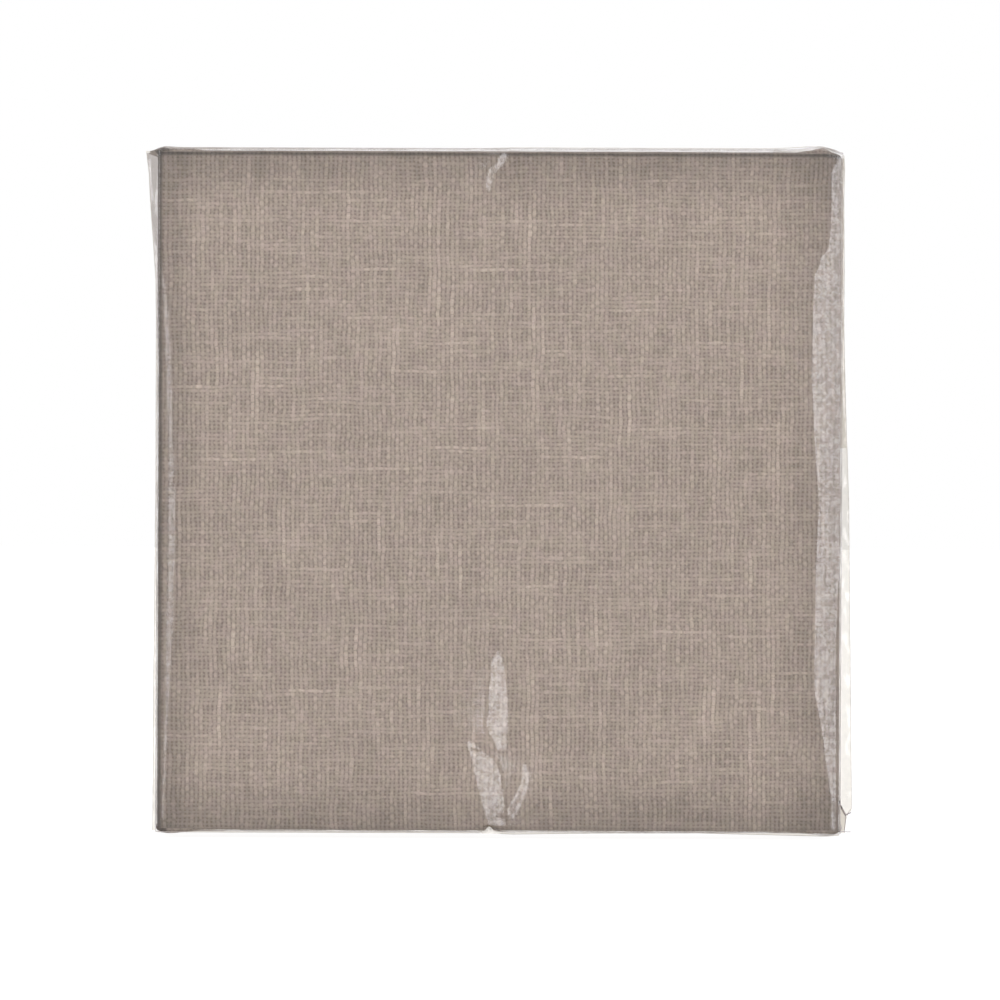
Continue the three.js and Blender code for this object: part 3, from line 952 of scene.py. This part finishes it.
def weave(s, u, v, fibre):
    """The cloth's height and tone: uneven threads over and under, with painted shade in the gaps.
    """
    warp = thread_count(s, u, v, u, WARP_PITCH, (0.06, 0.09, 1.7), (0.5, 0.4, 2.7))
    weft = thread_count(s, u, v, v, WEFT_PITCH, (0.09, 0.06, 8.3), (0.4, 0.5, 6.1))
    warp_number = s.math("FLOOR", warp)
    weft_number = s.math("FLOOR", weft)
    across_warp = s.sum(s.math("FRACT", warp), -0.5)
    across_weft = s.sum(s.math("FRACT", weft), -0.5)
    warp_body = s.cloud((warp_number, 7.31), (v, 0.075), 3.1, detail=3)
    weft_body = s.cloud((u, 0.075), (weft_number, 5.77), 9.4, detail=3)
    warp_slub = s.cloud((warp_number, 3.7), (v, 0.035), 6.6, detail=1)
    weft_slub = s.cloud((u, 0.035), (weft_number, 4.9), 2.2, detail=1)
    parity = s.math("MODULO", s.math("ABSOLUTE", s.sum(warp_number, weft_number)), 2.0)
    over = s.sum(s.times(parity, 2.0), -1.0)

    warp_level = s.range(warp_slub, 0.60, 0.70, 0.77, 0.91)
    warp_height = thread_height(s, across_warp, warp_body, across_weft, over, 1.0, 0.36, warp_level)
    weft_height = thread_height(s, across_weft, weft_body, across_warp, over, -1.0, 0.345, 0.70)
    height = s.math("SMOOTH_MAX", warp_height, weft_height, 0.24)
    warp_on_top = s.range(s.math("SUBTRACT", warp_height, weft_height), -0.06, 0.06)

    warp_tone = s.times(s.range(warp_body, 0.3, 0.75, 0.92, 1.12),
                        s.range(warp_slub, 0.60, 0.71, 1.01, 1.15))
    weft_tone = s.times(s.range(weft_body, 0.3, 0.75, 0.87, 1.10),
                        s.range(weft_slub, 0.62, 0.72, 0.97, 1.15))
    tone = s.sum(s.times(warp_on_top, warp_tone),
                 s.times(s.math("SUBTRACT", 1.0, warp_on_top), weft_tone))
    chance = s.add("ShaderNodeTexWhiteNoise", {
        "Vector": s.vector(warp_number, weft_number, 0.0)}).outputs["Value"]
    tone = s.times(tone, s.sum(0.92, s.times(chance, 0.16)))
    tone = s.times(tone, s.range(fibre, 0.25, 0.75, 0.88, 1.12))
    patch = s.cloud((u, 0.05), (v, 0.05), 5.0, detail=3)
    tone = s.times(tone, s.range(patch, 0.3, 0.7, 0.98, 1.02))
    # painted shade in the low gaps between threads, patchy so that some gaps stay light
    mottle = s.cloud((u, 0.85), (v, 0.7), 4.4, detail=3)
    gap_shade_height = s.shifted(height, mottle, 1.3)
    tone = s.times(tone, s.range(gap_shade_height, 0.0, 0.68, 0.81, 1.03))
    # painted shade and light: a faint dark line where two threads of the same kind lie side by
    # side, and each thread a little lighter along its middle
    weft_line_shade = s.range(s.math("ABSOLUTE", across_weft), 0.1, 0.5, 1.025, 0.965)
    warp_line_shade = s.range(s.math("ABSOLUTE", across_warp), 0.1, 0.5, 1.015, 0.975)
    return height, s.times(tone, s.times(weft_line_shade, warp_line_shade))


def painted_edge_shade(s, u, v, tone):
    """Painted shade: the tone darker towards the face's edges, with a thin dark line along each."""
    edges = {
        "top": s.math("SUBTRACT", LINEN_HALF, v), "bottom": s.sum(LINEN_HALF, v),
        "left": s.sum(LINEN_HALF, u), "right": s.math("SUBTRACT", LINEN_HALF, u),
    }
    farthest = s.math("MAXIMUM", s.math("ABSOLUTE", u), s.math("ABSOLUTE", v))
    on_sides = s.range(farthest, LINEN_HALF + 1.6, LINEN_HALF + 2.6)
    for side, (shade, width, line, wide, line_shade) in EDGE_SHADE.items():
        # painted shade: the face darker towards this edge, back to its own tone past the edge
        on_face = s.range(edges[side], 0.8, width, shade, 1.0)
        past_edge = s.range(edges[side], -0.8, -3.5, shade, 1.0)
        tone = s.times(tone, s.math("MAXIMUM", on_face, past_edge))
        off_line = s.math("ABSOLUTE", s.sum(edges[side], -line))
        # painted shade: a thin dark line near the edge where the cloth rolls over, left off the
        # sides
        painted_edge_line = s.range(off_line, wide, wide + 0.7, line_shade, 1.0)
        tone = s.times(tone, s.math("MAXIMUM", painted_edge_line, on_sides))
    return tone


def linen_material():
    """Plain-weave linen, natural and primed clear, with painted shade in its weave and at its
    edges.
    """
    s = Shader("linen_weave")
    flat = s.split(s.add("ShaderNodeUVMap", uv_map="flat").outputs[0])
    u, v = [s.times(s.sum(part, -0.5), CLOTH_SHEET) for part in flat[:2]]
    fibre = s.cloud((u, 1.6), (v, 1.6), 0.0, detail=4, roughness=0.7)
    height, tone = weave(s, u, v, fibre)
    tone = painted_edge_shade(s, u, v, tone)
    hue = s.cloud((u, 0.4), (v, 0.3), 7.0, detail=3)
    warm = s.mix(s.range(hue, 0.3, 0.7), colour(0.333, 0.272, 0.241), colour(0.324, 0.274, 0.230))
    # painted shade: the low places of the weave a little darker
    dark = s.mix(s.range(height, 0.1, 0.8), colour(0.9, 0.86, 0.84), colour(1, 1, 1))
    shade = s.mix(1.0, warm, dark, "MULTIPLY")
    fuzz = s.cloud((u, 6), (v, 6), 2.0, detail=3)
    return s.finish("ShaderNodeBsdfPrincipled", {
        "Base Color": s.mix(1.0, shade, s.vector(tone, tone, tone), "MULTIPLY"),
        "Roughness": s.range(fibre, 0.2, 0.8, 0.78, 0.94),
        "Specular IOR Level": 0.35,
        "Sheen Weight": 0.12,
        "Sheen Roughness": 0.5,
        "Normal": s.bump(s.sum(height, s.times(fuzz, 0.10)), 0.22, 0.8),
    })


def film_material(name, square_on, edge_tint):
    """Clear shrink film: nearly nothing seen square on, and a hard gloss where it turns away."""
    s = Shader(name)
    place = s.place()
    fine = s.noise(place, 260, 3, 0.6)
    wide = s.noise(place, 45, 2)
    relief = s.sum(s.times(fine, 0.25), wide)
    normal = s.bump(relief, 0.05, 1.0)
    turned_away = s.add("ShaderNodeLayerWeight", {"Blend": 0.5, "Normal": normal})
    facing = turned_away.outputs["Facing"]
    # the same from both sides, so that light passes out of the film as it came in
    shine = s.sum(FILM_SHINE, s.times(s.math("POWER", facing, 5.0), 1 - FILM_SHINE))
    # the film lies on the linen, whose threads print through it
    printed = s.range(s.noise(place, 900, 2, 0.6), 0.32, 0.68, 0.55, 1.42)
    shine = s.times(shine, printed)
    edge_on = s.math("POWER", facing, 4.0)
    tint = s.mix(edge_on, square_on, edge_tint)
    gloss = s.add("ShaderNodeBsdfGlossy", {
        "Color": colour(0.97, 0.96, 1.0),
        "Roughness": s.range(fine, 0.3, 0.7, 0.16, 0.22),
        "Normal": normal,
    })
    return s.half_clear(shine, tint, gloss)


def bead_material():
    """The melted edge of the film: milky, and thicker than the film itself."""
    s = Shader("film_bead")
    place = s.place()
    blobs = s.noise(place, 700, 3, 0.6)
    body = s.add("ShaderNodeBsdfPrincipled", {
        "Base Color": s.mix(blobs, colour(0.70, 0.66, 0.61), colour(0.92, 0.90, 0.87)),
        "Roughness": 0.3,
        "Normal": s.bump(blobs, 0.06),
    })
    return s.half_clear(s.range(blobs, 0.35, 0.65, 0.45, 0.75), colour(0.95, 0.94, 0.92), body)


def wood_material(name, upright, pith, early, late, ring, fleck):
    """Sawn wood with its rings round a pith that lies beside the piece, in millimetres."""
    s = Shader(name)
    x, y, z = [s.times(part, 1 / MM) for part in s.split(s.place())]
    run, across = (z, x) if upright else (x, z)
    wander = s.cloud((run, 0.012), (y, 0.04), (across, 0.04), detail=3)
    away_y = s.sum(y, -pith[0])
    away_a = s.sum(across, s.sum(s.times(wander, 9), -pith[1]))
    radius = s.math("SQRT", s.sum(s.times(away_y, away_y), s.times(away_a, away_a)))
    radius = s.sum(radius, s.times(wander, 5))
    share = s.math("FRACT", s.math("DIVIDE", radius, ring))
    late_wood = s.times(s.range(share, 0.45, 0.93), s.range(share, 1.0, 0.95))
    fibre = s.cloud((run, 0.12), (y, 5), (across, 5), detail=4, roughness=0.7)
    streak = s.cloud((run, 0.02), (y, 0.9), (across, 0.9), detail=3)
    pores = s.cloud((run, 0.5), (y, 9), (across, 9))
    base = s.mix(s.times(late_wood, 0.8), early, late)
    base = s.mix(s.range(streak, 0.3, 0.75, 0.0, 0.35), base, late)
    base = s.mix(s.range(pores, 0.62, 0.72, 0.0, fleck), base, colour(0.20, 0.10, 0.05))
    light = s.range(fibre, 0.2, 0.8, 0.84, 1.12)
    base = s.mix(1.0, base, s.vector(light, light, light), "MULTIPLY")
    saw = s.cloud((run, 0.9), (y, 0.05), (across, 0.05), detail=1)
    relief = s.sum(s.sum(s.times(fibre, 0.6), s.times(late_wood, -0.35)), s.times(saw, 0.5))
    return s.finish("ShaderNodeBsdfPrincipled", {
        "Base Color": base,
        "Roughness": s.range(fibre, 0.2, 0.8, 0.5, 0.75),
        "Specular IOR Level": 0.35,
        "Normal": s.bump(relief, 0.12, 0.8),
    })


def steel_material():
    """Galvanised flat wire, drawn through a die: fine lines and a dull mottle."""
    s = Shader("staple_wire")
    place = s.place()
    mottle = s.noise(place, 900, 4, 0.6)
    scratch = s.noise(place, 3500, 2, 0.6)
    return s.finish("ShaderNodeBsdfPrincipled", {
        "Base Color": s.mix(mottle, colour(0.44, 0.45, 0.46), colour(0.72, 0.72, 0.70)),
        "Metallic": 1.0,
        "Roughness": s.range(mottle, 0.3, 0.7, 0.22, 0.42),
        "Normal": s.bump(scratch, 0.02),
    })


def dress_wood():
    """Pine on the bars and beech on the keys, with softened edges."""
    pine_early = colour(0.72, 0.50, 0.29)
    pine_late = colour(0.50, 0.27, 0.11)
    piths = {"top": (40, 190), "right": (-30, 110), "bottom": (36, -28), "left": (-34, -105)}
    for side in SIDES:
        upright = side in ("left", "right")
        wood = wood_material("pine_" + side, upright, piths[side], pine_early, pine_late, 2.6, 0.12)
        dress(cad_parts["bar_" + side], wood, 0.35)
    beech = {}
    for upright in (False, True):
        beech[upright] = wood_material(
            "beech_upright" if upright else "beech_level", upright, (60, 60),
            colour(0.66, 0.42, 0.25), colour(0.52, 0.30, 0.16), 1.7, 0.5)
    for name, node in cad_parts.items():
        if name.startswith("key_"):
            upright = name.startswith(("key_left", "key_right"))
            dress(node, beech[upright], 0.25)


def dress(node, material, edge):
    """Gives a CAD node its material, and rounds its edges by a fraction of a millimetre."""
    for slot in node.material_slots:
        slot.material = material
    bevel = node.modifiers.new("edges", "BEVEL")
    bevel.width = edge * MM
    bevel.segments = 2
    bevel.limit_method = "ANGLE"
    bevel.angle_limit = math.radians(30)


# --- Studio ---

def make_floor():
    """A pale floor just under the canvas, glowing almost white."""
    far = FLOOR_HALF
    mesh = bpy.data.meshes.new("floor")
    mesh.from_pydata([(-far, -far, 0), (far, -far, 0), (far, far, 0), (-far, far, 0)],
                     [], [(0, 1, 2, 3)])
    floor = add_object("floor", mesh)
    floor.location.z = -FLOOR_DROP
    s = Shader("floor_white")
    grain = s.noise(s.place(), 300, 2)
    paper = s.add("ShaderNodeBsdfDiffuse", {
        "Color": s.mix(grain, colour(0.24, 0.24, 0.24), colour(0.28, 0.28, 0.28)),
    })
    glow = s.add("ShaderNodeEmission", {"Color": colour(1, 1, 1), "Strength": FLOOR_GLOW})
    parts = {0: paper.outputs[0], 1: glow.outputs[0]}
    mesh.materials.append(s.finish("ShaderNodeAddShader", parts))
    floor.visible_glossy = False


def make_world():
    """White all round for light and for the camera; gloss sees a dim room with a white sweep."""
    s = Shader("studio", of_world=True)
    way = s.split(s.place("Generated"))
    behind = s.range(way[1], 0.25, 0.8, ROOM_SEEN, 1.0, "LINEAR")
    above = s.range(way[2], 0.45, 0.75, ROOM_SEEN, 1.0, "LINEAR")
    rays = s.add("ShaderNodeLightPath")
    seen = s.add("ShaderNodeMix", {
        0: rays.outputs["Is Glossy Ray"], 2: 1.0, 3: s.math("MAXIMUM", behind, above),
    }, data_type="FLOAT")
    bpy.context.scene.world = s.finish("ShaderNodeBackground", {
        "Color": colour(1, 1, 1), "Strength": seen.outputs[0],
    })


def softbox(name, azimuth, wide, tall, watts):
    """A large soft light facing the canvas, so many degrees round from its front."""
    light = bpy.data.lights.new(name, "AREA")
    light.shape = "RECTANGLE"
    light.size = wide
    light.size_y = tall
    light.energy = watts
    lamp = add_object(name, light)
    turn = math.radians(azimuth)
    way = Vector((math.sin(turn), -math.cos(turn), 0.12)).normalized()
    lamp.location = MIDDLE + way * LIGHT_AWAY
    lamp.rotation_mode = "QUATERNION"
    lamp.rotation_quaternion = way.to_track_quat("Z", "Y")
    lamp.visible_camera = False


def make_camera():
    """Facing the canvas a metre in front of it, and rolled a little."""
    data = bpy.data.cameras.new("camera")
    data.sensor_width = SENSOR_WIDTH
    data.lens = SENSOR_WIDTH * CAMERA_AWAY / FRAME_WIDTH
    data.clip_start = 0.05
    data.clip_end = 20
    camera = add_object("camera", data)
    camera.location = (CAMERA_RIGHT, MIDDLE.y - LINEN_FACE * MM - CAMERA_AWAY,
                       MIDDLE.z - CAMERA_DOWN)
    camera.rotation_euler = (math.pi / 2, CAMERA_ROLL, 0)
    scene = bpy.context.scene
    scene.camera = camera
    scene.view_settings.view_transform = "Standard"
    scene.view_settings.look = "None"


# --- The canvas ---

def add_staples():
    """Every staple, over its CAD place; gives back their crowns' middles and ways."""
    steel = steel_material()
    staples = []
    for name in sorted(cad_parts):
        if name.startswith("staple_"):
            centre, way, _ = staple_place(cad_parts[name])
            staples.append((centre, way))
            make_staple(name, steel)
    return staples


def add_linen(staples):
    """The cloth in the CAD linen's place, with its corner folds and loose threads."""
    linen, folds, threads = make_linen(linen_material(), staples)
    for piece in (linen, folds, threads):
        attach(piece, "canvas")
    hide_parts("linen")


def add_film():
    """The two webs of film; their materials stand in the order CLEAR, BEAD, DOUBLED, BUNCHED."""
    clear = film_material("film_clear", colour(0.985, 0.982, 0.975), colour(0.76, 0.71, 0.65))
    bead = bead_material()
    doubled = film_material("film_doubled", colour(0.83, 0.80, 0.755), colour(0.70, 0.66, 0.62))
    bunched = film_material("film_bunched", colour(0.66, 0.635, 0.64), colour(0.5, 0.48, 0.48))
    front = make_film_front([clear, bead, doubled, bunched])
    back = make_film_back([clear, bead])
    for piece, node in ((front, "film_front_web"), (back, "film_back_web")):
        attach(piece, "canvas")
        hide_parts(node)


make_floor()
make_world()
for light, (round_by, *shape) in LIGHTS.items():
    softbox(light + "_left", -round_by, *shape)
    softbox(light + "_right", round_by, *shape)
make_camera()
staple_places = add_staples()
dress_wood()
add_linen(staple_places)
add_film()
